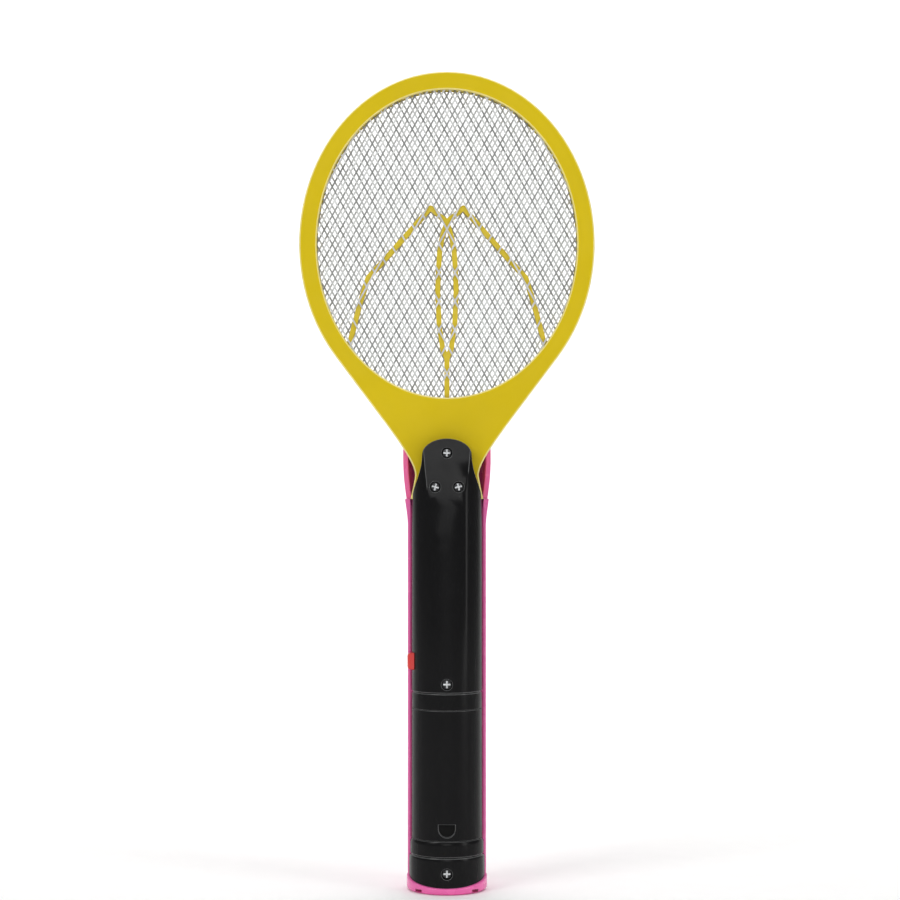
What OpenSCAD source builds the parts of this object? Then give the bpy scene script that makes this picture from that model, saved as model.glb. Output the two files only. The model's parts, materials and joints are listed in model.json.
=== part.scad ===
// Electric fly swatter: oval three-layer grid head on a round battery handle.
// Millimetres. +Z runs from the flat handle end to the head, the screwed side
// of the handle faces -Y and the button is on -X. The origin is the centre of
// the flat end.

/* [Head] */
// Outer width of the head
head_w = 182.4; // [170:0.2:219]
// Outer height of the head's oval
head_h = 212; // [196:1:255]
// Width of the ring around the grids
ring_w = 11; // [9:0.5:13]
// Thickness of the head, both halves together
head_t = 12; // [11.5:0.5:15]
// Height of the throat between the grip and the oval
throat_len = 51.5; // [46:0.5:62]
// Thickness of the lip that holds the outer grids
lip_t = 1.8; // [1.4:0.1:2.2]
// How far the grids reach under the lip
grid_seat = 3; // [2.4:0.1:4]

/* [Grids] */
// Width of one diamond
diamond_w = 9.9; // [8:0.1:12]
// Height of one diamond
diamond_h = 17.8; // [14.8:0.1:21.4]
// Width of a strand
strand_w = 1; // [0.7:0.05:1.2]
// Thickness of the sheet that a grid is cut from
grid_t = 0.8; // [0.6:0.05:1]
// Width of the ribs between the grids
rib_w = 3.2; // [2.4:0.1:3.9]

/* [Handle] */
// Height at which the head's stem starts
grip_len = 241; // [236:1:290]
// Radius of the screwed half
body_r = 22; // [21:0.5:26.4]
// How far the other half stands out beyond it
front_step = 2.2; // [2:0.1:3]
// How far the thickened end of the screwed half stands out
bulge_step = 1.4; // [1:0.1:1.8]
// Wall of the screwed half
rear_wall = 2.2; // [2:0.1:2.6]
// Height of the tongue above the grip
tongue_len = 37.2; // [34:0.2:40]
// Half the width of the tongue's top
tongue_hw = 15.2; // [14:0.1:16.5]
// Depth of the sloping flat at the tongue's top
flat_depth = 5.9; // [5:0.1:6.4]
// Length of the sloping flat
flat_len = 78.4; // [70:0.2:84]
// Half the width of the other half's shoulders
shoulder_hw = 28; // [26.4:0.1:29]
// Height of the solid end below the screwed half
end_h = 8.9; // [8:0.1:9.6]
// How much lower the screwed half reaches in its middle than at its sides
end_drop = 4.8; // [3:0.1:5]

/* [Battery door] */
// Lower edge of the door
door_z = 32.1; // [30:0.1:36]
// Length of the door
door_len = 80.1; // [76:0.1:96]
// Thickness of the door
door_t = 3; // [2.8:0.1:3.4]
// Height of the side rails below the door
rail_h = 5; // [4:0.1:6]
// Depth of the thumb notch
notch_depth = 2.1; // [1.6:0.1:2.3]
// Width of the thumb notch
notch_w = 10.4; // [9:0.1:12]

/* [Button] */
// Height of the button's centre above the door
button_up = 29; // [27:0.1:34]
// Length of the button along the handle
button_len = 10.2; // [9:0.1:12.2]
// Width of the button around the handle
button_w = 8; // [7:0.1:9.6]
// How far the button stands out
button_out = 2.4; // [2.2:0.1:3]
// Travel of the button
button_travel = 1.5; // [1:0.1:1.6]

/* [Fits] */
// Gap between a moving piece and its opening
slide_gap = 0.3; // [0.3:0.05:0.4]
// Gap between fixed pieces that fit into each other
fit_gap = 0.3; // [0.2:0.05:0.4]
// Gap around a screw's shaft
screw_gap = 0.05; // [0.02:0.01:0.1]
// Radius of a screw's shaft
screw_r = 1.5; // [1.3:0.1:1.7]

/* [Hidden] */

$fn = 64;
far = 200;
yellow = [0.80, 0.71, 0.10];
black = [0.10, 0.10, 0.10];
pink = [0.92, 0.41, 0.66];
red = [0.86, 0.10, 0.08];
silver = [0.78, 0.80, 0.80];
dark = [0.16, 0.16, 0.17];

// Head
out_a = head_w / 2;
out_b = head_h / 2;
in_a = out_a - ring_w;
in_b = out_b - ring_w;
pocket_a = in_a + grid_seat;
pocket_b = in_b + grid_seat;
grid_a = pocket_a - fit_gap;
grid_b = pocket_b - fit_gap;
head_z = grip_len + throat_len + out_b;
half_t = head_t / 2;
pocket_y = half_t - lip_t;
rib_frame_t = (head_t - 2 * lip_t - 3 * grid_t) / 2;
frame_wall = 3;

// Handle
front_r = body_r + front_step;
bulge_r = body_r + bulge_step;
mid_r = body_r + bulge_step * 0.6;
end_r = front_r + 0.6;
rear_in = body_r - rear_wall;
front_in = body_r - 1;
front_wall = front_r - front_in;
tongue_z = grip_len + tongue_len;
tongue_top_h = 10;
tongue_shoulder_z = tongue_z - tongue_top_h;
flat_z = tongue_z - flat_len;
flat_slope = atan(flat_depth / flat_len);
front_top_z = tongue_z + 14;
end_round = 2.4;
end_tilt = atan(end_drop / bulge_r);

// Point of a cubic curve
function curve(p, q, r, s, t) =
    p * pow(1 - t, 3) + 3 * q * t * pow(1 - t, 2) + 3 * r * t * t * (1 - t) + s * pow(t, 3);

// Side of the tongue, from the grip's full width up to its narrow top
flare_z = grip_len - 4;
flare_h = tongue_shoulder_z - flare_z;
function tongue_side(t, inset) =
    curve([body_r - inset, flare_z], [body_r - 0.2 - inset, flare_z + 0.386 * flare_h],
          [tongue_hw + 0.3 - inset, flare_z + 0.58 * flare_h], [tongue_hw - inset, tongue_shoulder_z], t);

// Waist of the head's stem, tied to the tongue that covers it
waist_z = tongue_side(0.62, 0)[1];
waist_hw = tongue_side(0.62, 0)[0] + 2.1;
stem_mid = tongue_side(0.36, 0) + [0.8, 0];
stem_hw = body_r + 0.4;

// Door, screws and button
door_top = door_z + door_len;
band_z = door_z - 9.7;
ledge_r = body_r - door_t - slide_gap;
line_z = door_top + 10.3;
upper_screw_z = door_top + 15.9;
lower_screw_z = end_h + 3.9;
pair_z = grip_len + 7.6;
pair_x = 7.1;
top_screw_z = grip_len + 28.4;
button_z = door_top + button_up;
button_y = -0.3 - button_w / 2;
button_face = body_r + button_out;
hole_r = screw_r + screw_gap;
head_r = 2.9;
cap_h = 1.8;
screw_len = 26;
recess_r = 3.4;
screw_sink = 3.2;
function flat_y(z) = -body_r + (z - flat_z) * flat_depth / flat_len;
// Each screw's x and z, and the depth at which its head is seated
screw_points = [[0, lower_screw_z, screw_sink - bulge_r],
                [0, upper_screw_z, screw_sink - body_r],
                [-pair_x, pair_z, screw_sink + flat_y(pair_z)],
                [pair_x, pair_z, screw_sink + flat_y(pair_z)],
                [0, top_screw_z, screw_sink + flat_y(top_screw_z)]];
screw_end_y = screw_points[4][2] + screw_len + 1;

// Batteries
cell_r = 7.1;
cell_len = 50.5;
cell_x = 7.5;
cell_y = 2;
tray_z1 = door_top - 4;
tray_z0 = tray_z1 - 62;
tray_wall = 1.5;
tray_back = 11.5;
bay_z0 = tray_z0 + tray_wall;
bay_z1 = tray_z1 - tray_wall;
plate_t = 0.5;

// Circuit board
board_y = 4;
board_t = 1.6;
board_hw = 15;
board_z0 = button_z - 8;
board_z1 = grip_len - 8.5;
board_len = board_z1 - board_z0;
core_z = board_z0 + 0.37 * board_len;
cap_z = board_z0 + 0.66 * board_len;
chain_z = board_z0 + 0.86 * board_len;
switch_x = -11.5;
flange_x = -(body_r - 5);

// Ellipse point at angle t
function oval(a, b, t) = [a * cos(t), head_z + b * sin(t)];

// Right side of the throat, from the oval down to the waist
join_t = asin(-0.65);
join_p = oval(out_a, out_b, join_t);
throat_drop = join_p[1] - waist_z;
join_dir = [out_a * 0.65 / (out_b * cos(join_t)), 1];
throat_q = join_p - join_dir * 0.54 * throat_drop;
throat_r = [waist_hw, waist_z + 0.14 * throat_drop];
function throat(t) = curve(join_p, throat_q, throat_r, [waist_hw, waist_z], t);

throat_side = [for (i = [1:16]) throat(i / 16)];
oval_side = [for (i = [0:80]) oval(out_a, out_b, join_t + (180 - 2 * join_t) * i / 80)];

// Places a flat shape drawn in x and z between two depths
module slab(y0, y1) {
    translate([0, y1, 0]) rotate([90, 0, 0]) linear_extrude(height = y1 - y0) children();
}

module along_y(x, z, r, y0, y1) {
    translate([x, y1, z]) rotate([90, 0, 0]) cylinder(r = r, h = y1 - y0);
}

module oval_plan(a, b) {
    polygon([for (i = [0:119]) oval(a, b, i * 3)]);
}

module head_plan() {
    polygon(concat(oval_side,
                   [for (p = throat_side) [-p[0], p[1]]],
                   [[-stem_mid[0], stem_mid[1]], [-stem_hw, grip_len], [stem_hw, grip_len], stem_mid],
                   [for (i = [15:-1:0]) throat_side[i]]));
}

// Room for the leads inside the throat
module throat_room_plan() {
    right = [for (i = [5:15]) [throat_side[i][0] - frame_wall, throat_side[i][1]]];
    polygon(concat([for (i = [10:-1:0]) right[i]],
                   [for (p = right) [-p[0], p[1]]],
                   [[-waist_hw + frame_wall, grip_len - 1], [waist_hw - frame_wall, grip_len - 1]]));
}

// Rear half of the head, its parting face on y = 0
module head_half() {
    difference() {
        slab(-half_t, 0) head_plan();
        slab(-head_t, 1) oval_plan(in_a, in_b);
        slab(-pocket_y, 1) oval_plan(pocket_a, pocket_b);
        difference() {
            slab(-pocket_y, 1) throat_room_plan();
            for (p = screw_points) along_y(p[0], p[1], screw_r + 2, -head_t, 2);
        }
        slab(-pocket_y, 1) translate([-12, head_z - pocket_b - 18]) square([24, 22]);
        for (p = screw_points) along_y(p[0], p[1], hole_r, -head_t, 2);
    }
}

module head_frame_rear() {
    color(yellow) head_half();
}

module head_frame_front() {
    color(yellow) mirror([0, 1, 0]) head_half();
}

// One straight rib with rounded ends
module rib(p, q) {
    d = q - p;
    translate(p) rotate(atan2(d[1], d[0])) translate([0, -rib_w / 2]) square([norm(d), rib_w]);
    for (end = [p, q]) translate(end) circle(r = rib_w * 0.46);
}

// A point of the rib pattern, in parts of the opening's half width and half height
function at(u, v) = [u * in_a, head_z + v * in_b];

// Two near-upright ribs that meet on the axis, and the long outer ribs
inner_ribs = [at(0, -0.745), at(0.034, -0.68), at(0.042, -0.62), at(0.060, -0.54), at(0.065, -0.43),
              at(0.071, -0.30), at(0.064, -0.15), at(0.055, -0.04), at(0.037, 0.04), at(0, 0.143),
              at(0.127, 0.235), at(0.262, 0.104), at(0.455, -0.079), at(0.608, -0.221),
              at(0.673, -0.395), at(0.75, -0.65)];

module rib_plan() {
    rib(at(0, -1.005), at(0, -0.745));
    for (s = [-1, 1]) {
        for (i = [0:len(inner_ribs) - 2]) {
            rib([s * inner_ribs[i][0], inner_ribs[i][1]], [s * inner_ribs[i + 1][0], inner_ribs[i + 1][1]]);
        }
    }
    difference() {
        oval_plan(grid_a, grid_b);
        oval_plan(in_a + 0.5, in_b + 0.5);
    }
}

module rib_frame_rear() {
    color(yellow) slab(-grid_t / 2 - rib_frame_t, -grid_t / 2) rib_plan();
}

module rib_frame_front() {
    color(yellow) slab(grid_t / 2, grid_t / 2 + rib_frame_t) rib_plan();
}

// One strand at angle a through x0, cut to the oval
module strand(x0, a) {
    ga = grid_a - 0.5;
    gb = grid_b - 0.5;
    qa = pow(cos(a) / ga, 2) + pow(sin(a) / gb, 2);
    qb = 2 * x0 * cos(a) / (ga * ga);
    qc = pow(x0 / ga, 2) - 1;
    disc = qb * qb - 4 * qa * qc;
    if (disc > 0.02 * qa) {
        t0 = (-qb - sqrt(disc)) / (2 * qa);
        t1 = (-qb + sqrt(disc)) / (2 * qa);
        translate([x0, head_z]) rotate(a) translate([t0, -strand_w / 2]) square([t1 - t0, strand_w]);
    }
}

// Grid with its strands moved by a part of a diamond and a tail for its lead
module grid_plan(shift, tail_x) {
    steep = atan2(diamond_h, diamond_w);
    n = ceil((grid_a + grid_b * diamond_w / diamond_h) / diamond_w) + 1;
    for (i = [-n:n]) {
        strand((i + shift) * diamond_w, steep);
        strand((i + shift) * diamond_w, -steep);
    }
    difference() {
        oval_plan(grid_a, grid_b);
        oval_plan(grid_a - 1.4, grid_b - 1.4);
    }
    translate([tail_x - 2, head_z - grid_b - 13]) square([4, 14]);
}

module outer_grid_rear() {
    color(silver) slab(-pocket_y, -pocket_y + grid_t) grid_plan(1 / 2, -7);
}

module centre_grid() {
    color(silver) slab(-grid_t / 2, grid_t / 2) grid_plan(1 / 2 + 1 / 3, 5);
}

module outer_grid_front() {
    color(silver) slab(pocket_y - grid_t, pocket_y) grid_plan(1 / 2 + 2 / 3, -7);
}

// Outline of the tongue drawn in x and z, made smaller by inset
module tongue_plan(inset) {
    w = tongue_hw - inset;
    h = tongue_top_h - inset;
    side = [for (i = [0:11]) tongue_side(i / 12, inset)];
    polygon(concat([[-far, -far], [far, -far], [far, flare_z]], side,
                   [for (i = [0:24]) [w * cos(i * 7.5), tongue_shoulder_z + h * sin(i * 7.5)]],
                   [for (i = [11:-1:0]) [-side[i][0], side[i][1]]], [[-far, flare_z]]));
}

// The sloping plane at which the screwed half stands on the end of the other half
module end_plane(lift) {
    translate([0, 0, end_h + lift]) rotate([end_tilt, 0, 0]) children();
}

// Screwed half as a solid made smaller by inset
module rear_solid(inset) {
    difference() {
        intersection() {
            rotate_extrude() polygon([[0, 0],
                                      [bulge_r - inset, 0],
                                      [bulge_r - inset, band_z - 2.2],
                                      [mid_r - inset, band_z],
                                      [mid_r - inset, door_z - 2.2],
                                      [body_r - inset, door_z],
                                      [body_r - inset, tongue_z],
                                      [0, tongue_z]]);
            slab(-far, 0) tongue_plan(inset);
        }
        translate([-far, -half_t, grip_len]) cube([2 * far, 2 * far, far]);
        end_plane(inset) translate([-far, -far, -far]) cube([2 * far, 2 * far, far]);
        translate([0, -body_r + inset, flat_z]) rotate([-flat_slope, 0, 0])
            translate([-far, -far, -far / 20]) cube([2 * far, far, far]);
    }
}

// Thin ring line cut into the outside
module ring_line(z, r) {
    translate([0, 0, z - 0.5]) difference() {
        cylinder(r = r + 5, h = 1);
        translate([0, 0, -1]) cylinder(r = r - 0.5, h = 3);
    }
}

// Space that the door fills, made larger by gap
module door_space(gap) {
    translate([-far, -far, door_z - gap]) cube([2 * far, far - rail_h + gap, door_len + 2 * gap]);
}

module handle_rear_shell() {
    color(black) difference() {
        union() {
            difference() {
                rear_solid(0);
                rear_solid(rear_wall);
                difference() {
                    door_space(0);
                    translate([0, 0, door_z - 1]) cylinder(r = ledge_r, h = door_len + 2);
                }
            }
            intersection() {
                rear_solid(0);
                for (p = screw_points) along_y(p[0], p[1], recess_r + 1.5, -far, 0);
            }
            // Ledges that the ends of the door lie on
            for (z = [door_z, door_top]) {
                side = z == door_z ? 1 : -1;
                intersection() {
                    difference() {
                        union() {
                            translate([0, 0, z - 3]) cylinder(r = ledge_r, h = 6);
                            translate([0, 0, z - 1.5 - side * 1.5]) cylinder(r = rear_in + 0.4, h = 3);
                        }
                        translate([0, 0, z - 4]) cylinder(r = ledge_r - 1.6, h = 8);
                    }
                    translate([-far, -far, 0]) cube([2 * far, far, far]);
                }
            }
        }
        difference() {
            door_space(0);
            translate([0, 0, door_z - 1]) cylinder(r = ledge_r, h = door_len + 2);
        }
        translate([-far, -far, door_z + 3]) cube([2 * far, far - rail_h, door_len - 6]);
        for (p = screw_points) {
            along_y(p[0], p[1], hole_r, -far, far);
            along_y(p[0], p[1], recess_r, -far, p[2]);
        }
        ring_line(line_z, body_r);
        ring_line(band_z, mid_r);
        translate([-far, button_y - button_w / 2 - slide_gap, button_z - button_len / 2 - slide_gap])
            cube([far - 5, far, button_len + 2 * slide_gap]);
    }
}

// Narrow groove in the other half along the parting line, beside the screwed half
module parting_groove() {
    difference() {
        intersection() {
            translate([0, 0.7, 0]) rear_solid(-0.5);
            slab(-1, 0.7) translate([-far, door_z]) square([2 * far, grip_len - 1 - door_z]);
        }
        translate([0, 1.4, 0]) rear_solid(0.02);
    }
}

// Side of the other half, from the grip's radius out to its shoulders
shoulder_z = grip_len - 16;
arch_z = shoulder_z + 38;
function shoulder_side(t, inset) =
    curve([front_r - inset, shoulder_z], [front_r + 0.4 - inset, shoulder_z + 10],
          [shoulder_hw - 0.3 - inset, shoulder_z + 22], [shoulder_hw - inset, arch_z], t);

// The other half as a solid made smaller by inset: a turned body with an arched top
module front_solid(inset) {
    z0 = inset > 0 ? end_h + rear_wall : end_h - 1;
    top_z = front_top_z - inset;
    w = shoulder_hw - inset;
    side = [for (i = [0:12]) shoulder_side(i / 12, inset)];
    arch = [for (i = [0:12]) [(w + 0.5) * cos(i * 15), arch_z + (top_z - arch_z) * sin(i * 15)]];
    difference() {
        intersection() {
            rotate_extrude()
                polygon(concat([[0, z0], [front_r - inset, z0]], side, [[w, top_z + 5], [0, top_z + 5]]));
            slab(0, far) polygon(concat([[-far, 0], [far, 0], [far, arch_z]], arch, [[-far, arch_z]]));
        }
        translate([-far, -far, grip_len]) cube([2 * far, far + half_t, far]);
        translate([0, front_r - inset, flat_z]) rotate([flat_slope, 0, 0])
            translate([-far, 0, -far / 20]) cube([2 * far, far, far]);
    }
}

module handle_front_shell() {
    post_r = 3;
    color(pink) difference() {
        union() {
            difference() {
                front_solid(0);
                front_solid(front_wall);
            }
            intersection() {
                front_solid(0);
                union() {
                    for (p = screw_points) along_y(p[0], p[1], 4.5, 0, far);
                    for (z = [board_z0 + 14, board_z1 - 8]) {
                        for (x = [-10, 10]) along_y(x, z, post_r, board_y + board_t, far);
                    }
                    for (z = [tray_z0 + 8, tray_z1 - 8]) along_y(0, z, post_r, tray_back, far);
                }
            }
            difference() {
                rotate_extrude() {
                    square([end_r - end_round, end_h]);
                    translate([0, end_round]) square([end_r, end_h - end_round]);
                    translate([end_r - end_round, end_round]) circle(r = end_round);
                }
                intersection() {
                    end_plane(0) translate([-far, -far, 0]) cube([2 * far, 2 * far, far]);
                    translate([-far, -far, 0]) cube([2 * far, far, far]);
                }
            }
        }
        for (p = screw_points) along_y(p[0], p[1], hole_r, -far, screw_end_y);
        parting_groove();
        // Two small slots in the rounded end
        for (x = [-17.3, 17.3]) translate([x - 1.85, -far, 0.9]) cube([3.7, far - 11, 1.8]);
    }
}

module battery_door() {
    notch_top = door_z + 10.6;
    corner = notch_w / 2;
    color(black) difference() {
        intersection() {
            translate([0, 0, door_z + slide_gap]) difference() {
                cylinder(r = body_r, h = door_len - 2 * slide_gap);
                translate([0, 0, -1]) cylinder(r = body_r - door_t, h = door_len + 2);
            }
            translate([-far, -far, 0]) cube([2 * far, far - rail_h - screw_gap, far]);
        }
        // Thumb notch with a flat upper edge
        slab(-far, -body_r + notch_depth) difference() {
            union() {
                translate([0, notch_top - 2.7]) circle(r = corner);
                translate([-corner, notch_top - 2.7]) square([notch_w, 2.7]);
            }
            translate([-far, notch_top]) square([2 * far, far]);
        }
    }
}

module push_button() {
    z0 = button_z - button_len / 2;
    color(red) {
        translate([-button_face, button_y - button_w / 2, z0])
            cube([button_face + flange_x, button_w, button_len]);
        translate([flange_x - 0.01, button_y - button_w / 2, z0 - 1.8]) cube([1.41, button_w, button_len + 3.6]);
        translate([flange_x, button_y, button_z]) rotate([0, 90, 0]) cylinder(r = 1.2, h = 3.7);
    }
}

// Coil of round wire standing on z = 0
module coil(r0, r1, wire_r, height, turns) {
    sides = 8;
    steps = round(turns * 16);
    run = height - 2 * wire_r;
    points = [for (i = [0:steps]) for (j = [0:sides - 1])
        let (a = 360 * turns * i / steps,
             r = r0 + (r1 - r0) * i / steps + wire_r * cos(360 * j / sides),
             z = wire_r + run * i / steps + wire_r * sin(360 * j / sides))
        [r * cos(a), r * sin(a), z]];
    skin = [for (i = [0:steps - 1]) for (j = [0:sides - 1])
        [i * sides + j, i * sides + (j + 1) % sides, (i + 1) * sides + (j + 1) % sides, (i + 1) * sides + j]];
    first = [for (j = [sides - 1:-1:0]) j];
    last = [for (j = [0:sides - 1]) steps * sides + j];
    polyhedron(points, concat([first], skin, [last]));
}

module button_spring() {
    x0 = flange_x + 1.4;
    color(silver) translate([x0, button_y, button_z]) rotate([0, 90, 0]) coil(2.6, 2.6, 0.25, switch_x - x0, 3);
}

module switch_body() {
    color(dark) translate([switch_x, button_y - 4.6, button_z - 5])
        cube([6.5, board_y - button_y + 4.6, 10]);
}

module circuit_board() {
    color([0.10, 0.36, 0.20]) translate([-board_hw, board_y, board_z0]) cube([2 * board_hw, board_t, board_len]);
}

// Ferrite core: two windows around a middle leg
module transformer_core() {
    color(dark) translate([0, 0, core_z]) slab(-8.5, -2.5) difference() {
        square([20, 18], center = true);
        for (x = [-7, 2.5]) translate([x, -7]) square([4.5, 14]);
    }
}

module transformer_bobbin() {
    color([0.85, 0.83, 0.75]) translate([0, 0, core_z]) difference() {
        union() {
            translate([-3.3, -9.3, -6.8]) cube([6.6, 7.6, 13.6]);
            for (z = [-6.8, 5.8]) translate([-6.8, -12.3, z]) cube([13.6, board_y + 12.3, 1]);
        }
        translate([-2.6, -8.6, -8]) cube([5.2, 6.2, 16]);
    }
}

module transformer_coil() {
    color([0.62, 0.32, 0.12]) translate([0, 0, core_z]) difference() {
        translate([-6.5, -12, -5.8]) cube([13, 13, 11.6]);
        translate([-3.3, -9.3, -7]) cube([6.6, 7.6, 14]);
    }
}

module storage_capacitor() {
    color([0.55, 0.15, 0.10]) translate([-9, -8, cap_z - 10]) cube([18, board_y + 8, 20]);
}

module multiplier_capacitors() {
    color([0.75, 0.45, 0.10]) for (i = [-1:1]) translate([7, board_y, chain_z + 5 * i])
        rotate([90, 0, 0]) linear_extrude(height = 7) square([6, 3], center = true);
}

module rectifier_diodes() {
    color(dark) for (i = [-1:1]) translate([-11, board_y - 1.3, chain_z + 5 * i])
        rotate([0, 90, 0]) cylinder(r = 1.3, h = 7);
}

module transistor() {
    color(dark) translate([7, board_y, button_z + 2]) rotate([90, 0, 0]) difference() {
        cylinder(r = 2.4, h = 5);
        translate([-5, -5 - 1, -1]) cube([10, 5, 7]);
    }
}

module resistors() {
    color([0.80, 0.70, 0.50]) for (x = [-1, 3]) translate([x, board_y - 1.1, button_z - 3])
        cylinder(r = 1.1, h = 6.5);
}

module battery_tray() {
    w = cell_x + cell_r + 2;
    color(dark) difference() {
        translate([-w, cell_y - 6, tray_z0]) cube([2 * w, tray_back - cell_y + 6, tray_z1 - tray_z0]);
        translate([-w - 1, cell_y - 7, bay_z0]) cube([2 * w + 2, 7.5, bay_z1 - bay_z0]);
        for (x = [-cell_x, cell_x]) {
            translate([x, cell_y, bay_z0]) cylinder(r = cell_r + 0.3, h = bay_z1 - bay_z0);
            translate([x, board_y - 0.8, bay_z1 - 1]) cylinder(r = 0.85, h = 9);
        }
        for (z = [bay_z0 - 0.01, bay_z1 - plate_t - 0.01]) {
            translate([-13.2, cell_y - 4.2, z]) cube([26.4, 8.4, plate_t + 0.02]);
        }
    }
}

// Round cell standing on z = 0 with its cap up
module cell() {
    color([0.20, 0.22, 0.25]) rotate_extrude() polygon([[0, 0], [cell_r, 0], [cell_r, cell_len - 1.3],
                                                         [2.7, cell_len - 1.3], [2.7, cell_len], [0, cell_len]]);
}

module battery_cell_left() {
    translate([-cell_x, cell_y, bay_z1 - plate_t - cell_len]) cell();
}

module battery_cell_right() {
    translate([cell_x, cell_y, bay_z0 + plate_t + cell_len]) rotate([180, 0, 0]) cell();
}

module contact_plates() {
    color(silver) {
        translate([-13, cell_y - 4, bay_z0]) cube([26, 8, plate_t]);
        for (x = [-cell_x, cell_x]) translate([x - 5, cell_y - 4, bay_z1 - plate_t]) cube([10, 8, plate_t]);
    }
}

module contact_springs() {
    free = bay_z1 - bay_z0 - 2 * plate_t - cell_len;
    color(silver) {
        translate([-cell_x, cell_y, bay_z0 + plate_t]) coil(4, 2.6, 0.4, free, 4);
        translate([cell_x, cell_y, bay_z1 - plate_t]) rotate([180, 0, 0]) coil(4, 2.6, 0.4, free, 4);
    }
}

// Round lead through a list of points
module lead(points, r) {
    for (i = [0:len(points) - 2]) {
        d = points[i + 1] - points[i];
        translate(points[i]) rotate([0, acos(d[2] / norm(d)), atan2(d[1], d[0])]) cylinder(r = r, h = norm(d));
        if (i > 0) translate(points[i]) sphere(r = r + 0.06);
    }
}

module supply_leads() {
    y = board_y - 0.8;
    for (s = [-1, 1]) color(s < 0 ? red : black)
        lead([[s * cell_x, y, bay_z1], [s * cell_x, y, tray_z1 + 2], [s * 12, y - 3, tray_z1 + 9],
              [s * 12, y, board_z0 + 1], [s * 12, y, board_z0 + (s < 0 ? 1.6 : 6)]], 0.8);
}

tail_z = head_z - grid_b - 13;
lead_x = waist_hw - frame_wall - 2.6;

module centre_grid_lead() {
    color(red) lead([[12, board_y - 1, board_z1 - 6], [12, board_y - 1, board_z1 - 1], [lead_x, 0, grip_len + 1],
                     [lead_x, 0, waist_z + 4], [5, 0, tail_z - 3], [5, 0, tail_z]], 1);
}

module outer_grid_lead() {
    y = pocket_y - grid_t;
    color(black) {
        lead([[-12, board_y - 1, board_z1 - 6], [-12, board_y - 1, board_z1 - 1], [-lead_x, 0, grip_len + 1],
              [-lead_x, 0, waist_z + 4], [-7, 0, tail_z + 3]], 1);
        along_y(-7, tail_z + 3, 1, -y, y);
    }
}

// Five equal screws, heads towards -Y
module handle_screws() {
    color(silver) for (p = screw_points) difference() {
        union() {
            along_y(p[0], p[1], screw_r, p[2] - 1, p[2] + screw_len);
            along_y(p[0], p[1], head_r, p[2] - cap_h, p[2]);
        }
        for (a = [0, 90]) translate([p[0], p[2] - cap_h, p[1]]) rotate([0, a, 0])
            translate([-1.8, -1, -0.35]) cube([3.6, 2, 0.7]);
    }
}

head_frame_rear();
head_frame_front();
rib_frame_rear();
rib_frame_front();
outer_grid_rear();
centre_grid();
outer_grid_front();
handle_rear_shell();
handle_front_shell();
battery_door();
push_button();
button_spring();
switch_body();
circuit_board();
transformer_core();
transformer_bobbin();
transformer_coil();
storage_capacitor();
multiplier_capacitors();
rectifier_diodes();
transistor();
resistors();
battery_tray();
battery_cell_left();
battery_cell_right();
contact_plates();
contact_springs();
supply_leads();
centre_grid_lead();
outer_grid_lead();
handle_screws();
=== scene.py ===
"""Looks of the electric fly swatter: materials, finer pieces, studio and camera."""
import json
import math

import bmesh
import bpy
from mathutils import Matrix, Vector


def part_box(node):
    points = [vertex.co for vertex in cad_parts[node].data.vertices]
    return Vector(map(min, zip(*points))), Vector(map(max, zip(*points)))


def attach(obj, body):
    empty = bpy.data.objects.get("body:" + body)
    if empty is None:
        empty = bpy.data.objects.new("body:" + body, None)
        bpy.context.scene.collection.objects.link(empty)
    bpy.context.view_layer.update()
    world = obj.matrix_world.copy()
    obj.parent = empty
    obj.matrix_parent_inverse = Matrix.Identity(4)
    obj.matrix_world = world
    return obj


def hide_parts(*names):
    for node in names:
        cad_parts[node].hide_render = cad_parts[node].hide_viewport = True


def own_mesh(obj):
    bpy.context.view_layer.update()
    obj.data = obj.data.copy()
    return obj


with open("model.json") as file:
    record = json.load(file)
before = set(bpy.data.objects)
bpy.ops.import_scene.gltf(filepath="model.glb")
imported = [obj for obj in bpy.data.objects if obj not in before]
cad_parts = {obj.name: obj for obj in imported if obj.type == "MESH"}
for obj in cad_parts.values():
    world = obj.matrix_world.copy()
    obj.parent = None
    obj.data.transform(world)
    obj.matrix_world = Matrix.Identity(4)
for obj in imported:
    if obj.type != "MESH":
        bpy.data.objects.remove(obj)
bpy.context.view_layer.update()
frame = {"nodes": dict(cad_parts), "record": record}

MM = 0.001
RECORD = frame["record"]
COLOUR = {m["slot"]: tuple(m["base_color"][:3]) for m in RECORD["materials"]}


# ---------------------------------------------------------------- materials
def shade(colour, factor):
    """The colour made lighter or darker, as RGBA."""
    return tuple(max(0.0, min(1.0, c * factor)) for c in colour[:3]) + (1.0,)


def ramp(nodes, links, source, stops, name):
    """A colour ramp fed from a socket. stops are (position, RGBA)."""
    node = nodes.new("ShaderNodeValToRGB")
    node.name = name
    node.color_ramp.elements[0].position = stops[0][0]
    node.color_ramp.elements[0].color = stops[0][1]
    node.color_ramp.elements[1].position = stops[-1][0]
    node.color_ramp.elements[1].color = stops[-1][1]
    for position, rgba in stops[1:-1]:
        element = node.color_ramp.elements.new(position)
        element.color = rgba
    links.new(source, node.inputs["Fac"])
    return node


def noise(nodes, links, scale, detail, coords, stretch=None):
    """Noise in object space, stretched along an axis if asked."""
    if stretch:
        mapping = nodes.new("ShaderNodeMapping")
        mapping.inputs["Scale"].default_value = stretch
        links.new(coords, mapping.inputs["Vector"])
        coords = mapping.outputs["Vector"]
    node = nodes.new("ShaderNodeTexNoise")
    node.inputs["Scale"].default_value = scale
    node.inputs["Detail"].default_value = detail
    links.new(coords, node.inputs["Vector"])
    return node.outputs["Fac"]


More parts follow.
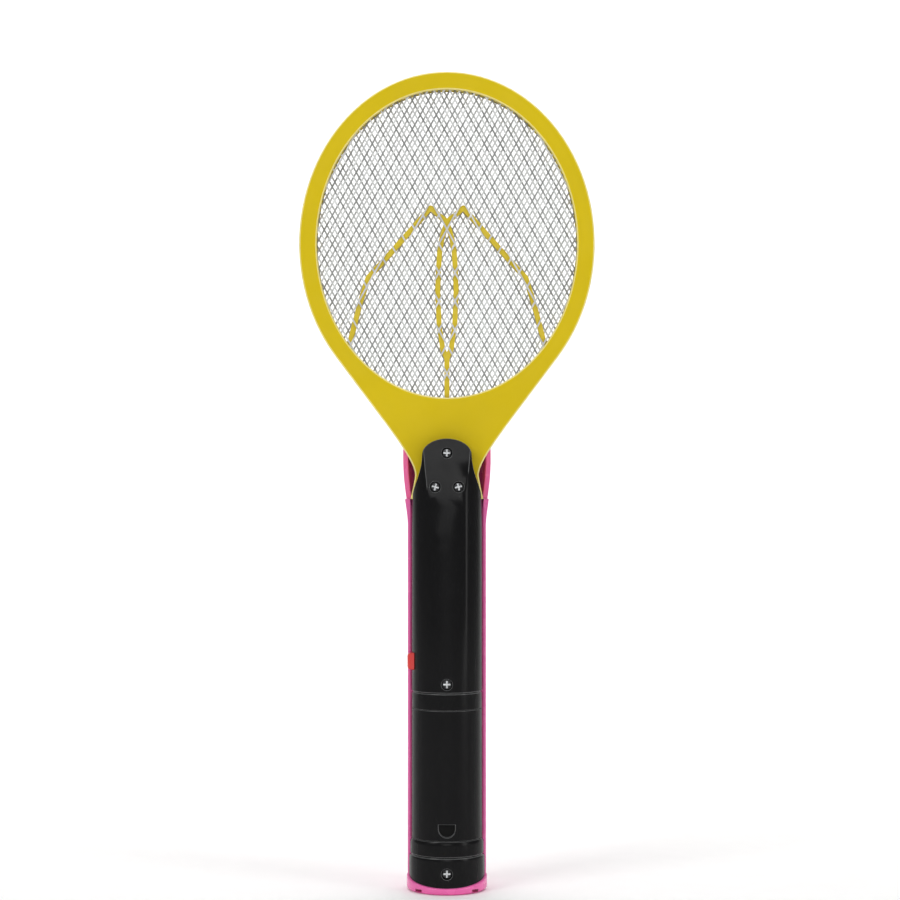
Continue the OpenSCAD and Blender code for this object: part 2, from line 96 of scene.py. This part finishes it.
def make(name, colour, rough=(0.3, 0.4), metal=0.0, coat=0.0, grain=900.0, bump=0.02,
         blotch=25.0, vary=0.08, edge_wear_and_highlight=1.5, edge_highlight_colour=None, edge=0.0004, stretch=None, specular=0.5,
         tint=1.0):
    """Procedural finish: blotchy colour, uneven gloss, fine grain and paler rounded edges, the paler
    edges being partly edge wear and partly a painted highlight.
    """
    colour = shade(colour, tint)
    mat = bpy.data.materials.new(name)
    mat.use_nodes = True
    nodes, links = mat.node_tree.nodes, mat.node_tree.links
    bsdf = nodes["Principled BSDF"]
    coords = nodes.new("ShaderNodeTexCoord").outputs["Object"]
    # Edge mask: the bevelled normal against the true normal picks the rounded edges, which are
    # lifted toward a paler tone as edge wear and painted highlight.
    soft = nodes.new("ShaderNodeBevel")
    soft.samples = 4
    soft.inputs["Radius"].default_value = edge
    flat = nodes.new("ShaderNodeNewGeometry")
    dot = nodes.new("ShaderNodeVectorMath")
    dot.operation = "DOT_PRODUCT"
    links.new(soft.outputs["Normal"], dot.inputs[0])
    links.new(flat.outputs["Normal"], dot.inputs[1])
    rim = nodes.new("ShaderNodeMapRange")
    rim.inputs["From Min"].default_value = 0.99
    rim.inputs["From Max"].default_value = 0.80
    links.new(dot.outputs["Value"], rim.inputs["Value"])
    blotches = noise(nodes, links, blotch, 6.0, coords)
    body = nodes.new("ShaderNodeMapRange")
    body.inputs["From Min"].default_value = 0.3
    body.inputs["From Max"].default_value = 0.7
    body.inputs["To Max"].default_value = 0.6
    links.new(blotches, body.inputs["Value"])
    total = nodes.new("ShaderNodeMath")
    total.operation = "MULTIPLY_ADD"
    total.inputs[1].default_value = 0.4
    links.new(rim.outputs["Result"], total.inputs[0])
    links.new(body.outputs["Result"], total.inputs[2])
    # Paler edge tone: an explicit edge colour is a painted highlight; otherwise the base colour
    # lifted, partly edge wear and partly painted highlight.
    edge_wear_and_highlight_tone = shade(edge_highlight_colour, 1.0) if edge_highlight_colour else shade(colour, edge_wear_and_highlight)
    stops = [(0.0, shade(colour, 1 - vary)), (0.6, shade(colour, 1 + vary)), (1.0, edge_wear_and_highlight_tone)]
    paint = ramp(nodes, links, total.outputs["Value"], stops, "paint")
    links.new(paint.outputs["Color"], bsdf.inputs["Base Color"])
    gloss = nodes.new("ShaderNodeMapRange")
    gloss.inputs["From Min"].default_value = 0.35
    gloss.inputs["From Max"].default_value = 0.65
    gloss.inputs["To Min"].default_value = rough[0]
    gloss.inputs["To Max"].default_value = rough[1]
    links.new(noise(nodes, links, blotch * 3.1, 8.0, coords, stretch), gloss.inputs["Value"])
    links.new(gloss.outputs["Result"], bsdf.inputs["Roughness"])
    relief = nodes.new("ShaderNodeBump")
    relief.inputs["Strength"].default_value = 1.0
    relief.inputs["Distance"].default_value = bump * MM
    links.new(noise(nodes, links, grain, 3.0, coords, stretch), relief.inputs["Height"])
    links.new(soft.outputs["Normal"], relief.inputs["Normal"])
    links.new(relief.outputs["Normal"], bsdf.inputs["Normal"])
    bsdf.inputs["Metallic"].default_value = metal
    bsdf.inputs["Coat Weight"].default_value = coat
    bsdf.inputs["Coat Roughness"].default_value = 0.08
    bsdf.inputs["Specular IOR Level"].default_value = specular
    return mat


FINISH = {
    # The plastics' paler edges are partly edge wear and mostly painted highlight lines; the yellow
    # frame's pale yellow edge colour is a painted highlight.
    "yellow_plastic": dict(rough=(0.34, 0.46), bump=0.012, vary=0.03, edge_highlight_colour=(0.86, 0.78, 0.36),
                           edge=0.0006, specular=0.13),
    "yellow_ribs": dict(rough=(0.38, 0.5), bump=0.012, vary=0.05, edge_wear_and_highlight=1.25),
    "grid_metal": dict(rough=(0.32, 0.46), metal=0.4, tint=0.7, bump=0.01, vary=0.08, edge_wear_and_highlight=1.3,
                       edge=0.0002, stretch=(1, 1, 4)),
    "black_plastic": dict(rough=(0.17, 0.23), bump=0.004, vary=0.12, edge_wear_and_highlight=2.2, edge=0.0003,
                          specular=0.10),
    "door_plastic": dict(rough=(0.18, 0.24), bump=0.004, vary=0.12, edge_wear_and_highlight=2.2, edge=0.0003,
                         specular=0.10),
    "pink_plastic": dict(rough=(0.2, 0.3), coat=0.2, bump=0.006, vary=0.04, edge_wear_and_highlight=1.15, edge=0.0007),
    # The red button's pale pink edge colour is a painted highlight.
    "red_plastic": dict(rough=(0.3, 0.4), coat=0.6, bump=0.006, vary=0.06,
                        edge_highlight_colour=(0.95, 0.30, 0.28), edge=0.0006),
    "spring_steel": dict(rough=(0.2, 0.32), metal=1.0, bump=0.004, vary=0.06, edge_wear_and_highlight=1.2, edge=0.0001),
    "component_black": dict(rough=(0.5, 0.65), bump=0.02, vary=0.12, edge_wear_and_highlight=1.8, edge=0.0002),
    "board_green": dict(rough=(0.3, 0.45), coat=0.3, bump=0.01, vary=0.15, edge_wear_and_highlight=1.3, edge=0.0002),
    "ferrite": dict(rough=(0.6, 0.75), bump=0.04, vary=0.18, edge_wear_and_highlight=1.5, edge=0.0003),
    "bobbin_plastic": dict(rough=(0.4, 0.5), bump=0.01, vary=0.06, edge_wear_and_highlight=1.1, edge=0.0002),
    "copper_winding": dict(rough=(0.3, 0.42), metal=0.85, bump=0.03, vary=0.18, edge_wear_and_highlight=1.3,
                           edge=0.0003),
    "capacitor_film": dict(rough=(0.25, 0.35), coat=0.4, bump=0.02, vary=0.12, edge_wear_and_highlight=1.3,
                           edge=0.0008),
    "capacitor_dip": dict(rough=(0.25, 0.38), coat=0.4, bump=0.03, vary=0.12, edge_wear_and_highlight=1.3,
                          edge=0.0006),
    "resistor_body": dict(rough=(0.35, 0.5), bump=0.02, vary=0.1, edge_wear_and_highlight=1.2, edge=0.0003),
    "tray_plastic": dict(rough=(0.4, 0.55), bump=0.02, vary=0.12, edge_wear_and_highlight=1.9, edge=0.0004),
    "cell_jacket": dict(rough=(0.2, 0.3), coat=0.5, bump=0.006, vary=0.1, edge_wear_and_highlight=1.5, edge=0.0003),
    "contact_metal": dict(rough=(0.25, 0.4), metal=1.0, bump=0.01, vary=0.1, edge_wear_and_highlight=1.2, edge=0.0001),
    "lead_insulation": dict(rough=(0.45, 0.6), bump=0.02, vary=0.12, edge_wear_and_highlight=1.5, edge=0.0002),
    "lead_red": dict(rough=(0.45, 0.6), bump=0.02, vary=0.1, edge_wear_and_highlight=1.2, edge=0.0002),
    # The inner grid layers' darker grey, from their slot colour and tint, is painted shade of layers
    # lying behind the outer grid.
    "inner_grid_metal": dict(rough=(0.35, 0.5), metal=0.4, tint=0.75, bump=0.01, vary=0.1, edge_wear_and_highlight=1.2,
                             edge=0.0002),
    "screw_metal": dict(rough=(0.22, 0.34), metal=1.0, bump=0.006, vary=0.06, edge_wear_and_highlight=1.2,
                        edge=0.0002),
}
MATERIAL = {s: make(s, COLOUR[s], **FINISH[s]) for s in COLOUR}
SLOT_OF = {p["node"]: p["material_slot"] for p in RECORD["subparts"]}
BODY_OF = {n: b for b, members in RECORD["behaviour"]["bodies"].items() for n in members}

for name, obj in frame["nodes"].items():
    obj.data.materials.clear()
    obj.data.materials.append(MATERIAL[SLOT_OF[name]])


# ---------------------------------------------------------------- finer pieces
def add_piece(name, mesh, slot_name, body, stands_for=()):
    """Puts a finished mesh into the scene on its body, with its finish."""
    obj = bpy.data.objects.new(name, mesh)
    bpy.context.scene.collection.objects.link(obj)
    if not mesh.materials:
        mesh.materials.append(MATERIAL[slot_name])
    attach(obj, body)
    if stands_for:
        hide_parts(*stands_for)
    return obj


def crisp_normals(mesh, limit=50.0):
    """Smooth shading that leaves the large faces true: corner normals weighted by face area."""
    least = math.cos(math.radians(limit))
    around = [[] for _ in mesh.vertices]
    for poly in mesh.polygons:
        for v in poly.vertices:
            around[v].append((poly.normal.copy(), poly.area))
    normals = []
    for poly in mesh.polygons:
        for v in poly.vertices:
            total = Vector((0.0, 0.0, 0.0))
            for normal, size in around[v]:
                if normal.dot(poly.normal) > least:
                    total += normal * size
            normals.append(total.normalized() if total.length > 0 else poly.normal)
    mesh.shade_smooth()
    mesh.normals_split_custom_set(normals)


def soften(node, passes, rim=None, recess=None, segments=3, least_angle=35.0):
    """The node's shape with its sharp edges rounded, and the rounding painted paler as a highlight
    if asked.

    passes are (radius in mm, test on an edge's two ends). rim is the finish of the rounded edges, a
    paler painted highlight. recess is a test on a face's middle and normal that picks the faces of a
    thumb recess, given a near-black rougher finish as painted shade.
    """
    bm = bmesh.new()
    bm.from_mesh(frame["nodes"][node].data)
    bmesh.ops.remove_doubles(bm, verts=bm.verts, dist=0.002 * MM)
    bmesh.ops.dissolve_limit(bm, angle_limit=math.radians(0.6), verts=bm.verts, edges=bm.edges)
    for radius, wanted in passes:
        sharp = [e for e in bm.edges if len(e.link_faces) == 2
                 and e.calc_face_angle(0.0) > math.radians(least_angle)
                 and wanted(e.verts[0].co, e.verts[1].co)]
        done = bmesh.ops.bevel(bm, geom=sharp, offset=radius * MM, offset_type="OFFSET",
                               segments=segments, profile=0.5, affect="EDGES", clamp_overlap=False,
                               harden_normals=False, miter_outer="SHARP", miter_inner="SHARP")
        if rim:
            # The rounded faces take the rim finish: a painted highlight.
            for face in done["faces"]:
                face.material_index = 1
    if recess:
        # The thumb-recess faces take the near-black finish: painted shade.
        for face in bm.faces:
            if recess(face.calc_center_median(), face.normal):
                face.material_index = 2
    bmesh.ops.triangulate(bm, faces=[f for f in bm.faces if len(f.verts) > 4])
    mesh = bpy.data.meshes.new(node + "_fine")
    bm.to_mesh(mesh)
    bm.free()
    mesh.materials.append(MATERIAL[SLOT_OF[node]])
    if rim:
        mesh.materials.append(rim)
    if recess:
        mesh.materials.append(RECESS_SHADE)
    crisp_normals(mesh)
    return add_piece(node + "_fine", mesh, SLOT_OF[node], BODY_OF[node], (node,))


def islands(node):
    """Low and high corner of each separate solid in a node."""
    bm = bmesh.new()
    bm.from_mesh(frame["nodes"][node].data)
    bmesh.ops.remove_doubles(bm, verts=bm.verts, dist=0.002 * MM)
    boxes, seen = [], set()
    for start in bm.verts:
        if start in seen:
            continue
        stack, part = [start], []
        seen.add(start)
        while stack:
            v = stack.pop()
            part.append(v.co.copy())
            for e in v.link_edges:
                other = e.other_vert(v)
                if other not in seen:
                    seen.add(other)
                    stack.append(other)
        boxes.append((Vector([min(c[i] for c in part) for i in range(3)]),
                      Vector([max(c[i] for c in part) for i in range(3)])))
    bm.free()
    return sorted(boxes, key=lambda b: (round(b[0].z, 4), b[0].x))


def cross_radius(angle, width, length):
    """Distance from the middle to the edge of a cross-shaped recess."""
    c, s = max(abs(math.cos(angle)), 1e-6), max(abs(math.sin(angle)), 1e-6)
    return max(min(length / c, width / s), min(length / s, width / c))


def lathe_rings(verts, faces, rings):
    """Joins rings of equal length into a skin and closes the last one."""
    first = len(verts)
    n = len(rings[0])
    for ring in rings:
        verts.extend(ring)
    for k in range(len(rings) - 1):
        for i in range(n):
            a, b = first + k * n + i, first + k * n + (i + 1) % n
            faces.append((a, b, b + n, a + n))
    last = first + (len(rings) - 1) * n
    faces.append(tuple(last + i for i in range(n)))


def face_outward(mesh):
    """Turns every face outward and shades the mesh smooth."""
    bm = bmesh.new()
    bm.from_mesh(mesh)
    bmesh.ops.recalc_face_normals(bm, faces=bm.faces)
    bm.to_mesh(mesh)
    bm.free()
    mesh.shade_smooth()


def make_screws(count=96):
    """Pan-head screws whose cross recess is bright metal, painted in as a glint, standing for the
    CAD screws.
    """
    shaft, pitch, head_depth = 1.5 * MM, 1.2 * MM, 1.8 * MM
    arm_width, arm_length = 0.52 * MM, 2.15 * MM
    verts, faces, glint_faces = [], [], set()
    for low, high in islands("handle_screws"):
        x, z = (low.x + high.x) / 2, (low.z + high.z) / 2
        head = (high.x - low.x) / 2
        top, tip = low.y, high.y
        turn = 0.35 * x * 100  # each screw stops at its own angle
        angles = [2 * math.pi * i / count for i in range(count)]

        def ring(radius_of, y):
            return [(x + radius_of(a) * math.cos(a + turn), y, z + radius_of(a) * math.sin(a + turn))
                    for a in angles]

        def cross(scale):
            return lambda a: scale * cross_radius(a, arm_width, arm_length)

        start = len(faces)
        recess = [ring(cross(1.0), top), ring(cross(0.82), top + 0.5 * MM),
                  ring(cross(0.35), top + 1.2 * MM)]
        lathe_rings(verts, faces, recess)
        # The cross recess faces take the bright metal: a painted glint.
        glint_faces.update(range(start, len(faces)))
        seat = top + head_depth
        profile = [(head * 0.80, top), (head * 0.93, top + 0.12 * MM), (head, top + 0.5 * MM),
                   (head, seat), (shaft, seat)]
        y = seat + 1.0 * MM
        while y < tip - 3.4 * MM:
            profile += [(shaft * 0.82, y), (shaft, y + pitch * 0.45),
                        (shaft * 0.82, y + pitch * 0.6)]
            y += pitch
        profile += [(shaft * 0.8, tip - 2.6 * MM), (0.15 * MM, tip)]
        rings = [ring(cross(1.0), top)] + [ring(lambda a, r=r: r, py) for r, py in profile]
        lathe_rings(verts, faces, rings)
    mesh = bpy.data.meshes.new("screws_fine")
    mesh.from_pydata(verts, [], faces)
    mesh.materials.append(MATERIAL["screw_metal"])
    mesh.materials.append(CROSS_GLINT_METAL)
    for i in glint_faces:
        mesh.polygons[i].material_index = 1
    face_outward(mesh)
    mesh.set_sharp_from_angle(angle=math.radians(30))
    add_piece("screws_fine", mesh, "screw_metal", "swatter", ("handle_screws",))


def make_button_spring(turns=3, wire=0.25 * MM, around=16, along=40, flatten=0.09):
    """Round-wire return spring with flattened end turns; it shortens as the button goes in."""
    low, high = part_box("button_spring")
    middle = (low + high) / 2
    coil = (high.z - low.z) / 2 - wire
    start, length = low.x + wire, high.x - low.x - 2 * wire
    rings = []
    for i in range(turns * along + 1):
        t = i / (turns * along)
        turn = 2 * math.pi * turns * t
        out = Vector((0, math.cos(turn), math.sin(turn)))
        centre = Vector((start + length * (t - flatten * math.sin(2 * math.pi * t)),
                         middle.y + coil * out.y, middle.z + coil * out.z))
        rings.append([tuple(centre + wire * (math.cos(a) * out + math.sin(a) * Vector((1, 0, 0))))
                      for a in (2 * math.pi * k / around for k in range(around))])
    verts, faces = [], []
    lathe_rings(verts, faces, rings)
    faces.append(tuple(reversed(range(around))))
    mesh = bpy.data.meshes.new("button_spring_fine")
    mesh.from_pydata(verts, [], faces)
    mesh.materials.append(MATERIAL[SLOT_OF["button_spring"]])
    face_outward(mesh)
    piece = add_piece("button_spring_fine", mesh, SLOT_OF["button_spring"],
                      BODY_OF["button_spring"], ("button_spring",))
    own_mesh(piece)


# Bright metal for the screws' cross recesses: a painted glint.
CROSS_GLINT_METAL = make("screw_cross_glint", (0.86, 0.87, 0.88), rough=(0.3, 0.42), metal=0.6, bump=0.004,
                   vary=0.04, edge_wear_and_highlight=1.1, edge=0.0001)
make_screws()
make_button_spring()

# Paler finishes for the rounded edges: painted highlight lines.
YELLOW_EDGE_HIGHLIGHT = make("yellow_edge_highlight", (0.84, 0.72, 0.22), rough=(0.25, 0.35), bump=0.006, vary=0.04,
                  edge_wear_and_highlight=1.1)
BLACK_EDGE_HIGHLIGHT = make("black_edge_highlight", (0.085, 0.087, 0.088), rough=(0.16, 0.26), bump=0.004, vary=0.15,
                 edge_wear_and_highlight=1.4)
# Near-black rough finish for the door's thumb-recess floor: painted shade.
RECESS_SHADE = make("thumb_recess_shade", (0.003, 0.003, 0.003), rough=(0.6, 0.75), bump=0.03, vary=0.1,
              edge_wear_and_highlight=1.5, specular=0.15)
DOOR_FACE = min(v.co.y for v in frame["nodes"]["battery_door"].data.vertices)


def in_notch(middle, normal):
    """True for the flat floor of the door's thumb notch, which is painted near-black as shade."""
    return normal.y < -0.999 and middle.y > DOOR_FACE + 1.2 * MM and abs(middle.x) < 8 * MM


def both(test):
    """The same test on both ends of an edge."""
    return lambda a, b: test(a) and test(b)


HEAD_FACE = max(abs(v.co.y) for v in frame["nodes"]["head_frame_rear"].data.vertices) - 0.02 * MM
FRONT_R = max(v.co.y for v in frame["nodes"]["handle_front_shell"].data.vertices)
REAR_R = -min(v.co.y for v in frame["nodes"]["handle_rear_shell"].data.vertices)
on_head_face = both(lambda c: abs(c.y) > HEAD_FACE)
on_front_skin = both(lambda c: math.hypot(c.x, c.y) > FRONT_R - 1.9 * MM and c.z > 3 * MM)
on_rear_skin = both(lambda c: math.hypot(c.x, c.y) > REAR_R - 2.4 * MM or c.z > 200 * MM)
soften("head_frame_rear", [(0.9, on_head_face)], rim=YELLOW_EDGE_HIGHLIGHT)
soften("head_frame_front", [(0.9, on_head_face)], rim=YELLOW_EDGE_HIGHLIGHT)
soften("handle_rear_shell", [(0.24, on_rear_skin)], rim=BLACK_EDGE_HIGHLIGHT)
soften("handle_front_shell", [(0.5, on_front_skin)])
soften("battery_door", [(0.25, both(lambda c: True))], rim=BLACK_EDGE_HIGHLIGHT, recess=in_notch)
soften("push_button", [(2.1, both(lambda c: c.x < -REAR_R + 3 * MM))])


# ---------------------------------------------------------------- studio
def studio_plain(name, colour, rough):
    """Pale paper with a faint fibre."""
    mat = bpy.data.materials.new(name)
    mat.use_nodes = True
    nodes, links = mat.node_tree.nodes, mat.node_tree.links
    coords = nodes.new("ShaderNodeTexCoord").outputs["Object"]
    fibre = noise(nodes, links, 60.0, 4.0, coords)
    stops = [(0.3, shade(colour, 0.985)), (0.7, shade(colour, 1.0))]
    tone = ramp(nodes, links, fibre, stops, "tone")
    links.new(tone.outputs["Color"], nodes["Principled BSDF"].inputs["Base Color"])
    nodes["Principled BSDF"].inputs["Roughness"].default_value = rough
    return mat


def sweep_backdrop():
    """Floor that curves up into a wall, in one strip."""
    profile = [(-3.0, 0.0), (1.6, 0.0)]
    profile += [(1.6 + 0.8 * math.sin(math.radians(a)), 0.8 - 0.8 * math.cos(math.radians(a)))
                for a in range(6, 91, 6)]
    profile += [(2.4, 4.0)]
    mesh = bpy.data.meshes.new("backdrop")
    verts = [(x, y, z) for y, z in profile for x in (-4.0, 4.0)]
    faces = [(2 * i, 2 * i + 1, 2 * i + 3, 2 * i + 2) for i in range(len(profile) - 1)]
    mesh.from_pydata(verts, [], faces)
    mesh.shade_smooth()
    obj = bpy.data.objects.new("backdrop", mesh)
    bpy.context.scene.collection.objects.link(obj)
    mesh.materials.append(studio_plain("paper", (0.93, 0.93, 0.925), 0.7))


def area(name, place, target, size, power, colour=(1.0, 1.0, 1.0)):
    """A soft rectangular lamp aimed at a point."""
    data = bpy.data.lights.new(name, "AREA")
    data.shape = "RECTANGLE"
    data.size, data.size_y = size
    data.energy = power
    data.color = colour
    lamp = bpy.data.objects.new(name, data)
    lamp.location = place
    lamp.rotation_mode = "QUATERNION"
    lamp.rotation_quaternion = (Vector(target) - Vector(place)).to_track_quat("-Z", "Y")
    bpy.context.scene.collection.objects.link(lamp)


sweep_backdrop()
area("key", (-1.3, -1.2, 1.3), (0, 0, 0.3), (0.8, 1.3), 14.5)
area("fill", (1.5, -0.9, 0.7), (0, 0, 0.25), (0.5, 1.6), 9.5)
area("front", (0.0, -2.7, 0.68), (0, 0, 0.25), (1.3, 0.5), 9)
area("top", (0.0, -0.1, 1.8), (0, 0, 0.3), (1.4, 0.9), 9)
area("wall", (0.0, 0.9, 1.9), (0, 2.3, 0.5), (3.0, 0.8), 42)

world = bpy.data.worlds.new("world")
bpy.context.scene.world = world
world.use_nodes = True
world.node_tree.nodes["Background"].inputs["Color"].default_value = (1.0, 1.0, 1.0, 1.0)
world.node_tree.nodes["Background"].inputs["Strength"].default_value = 0.22

camera = bpy.data.objects.new("camera", bpy.data.cameras.new("camera"))
bpy.context.scene.collection.objects.link(camera)
camera_far, seen_width = 1.4, 0.557
camera.location = (1.9 * MM, -camera_far, 271.2 * MM)
camera.rotation_euler = (math.radians(90), 0, 0)
camera.data.sensor_width = 36.0
camera.data.lens = camera.data.sensor_width * camera_far / seen_width
camera.data.clip_start = 0.05
camera.data.clip_end = 20.0
bpy.context.scene.camera = camera
bpy.context.scene.view_settings.view_transform = "Standard"
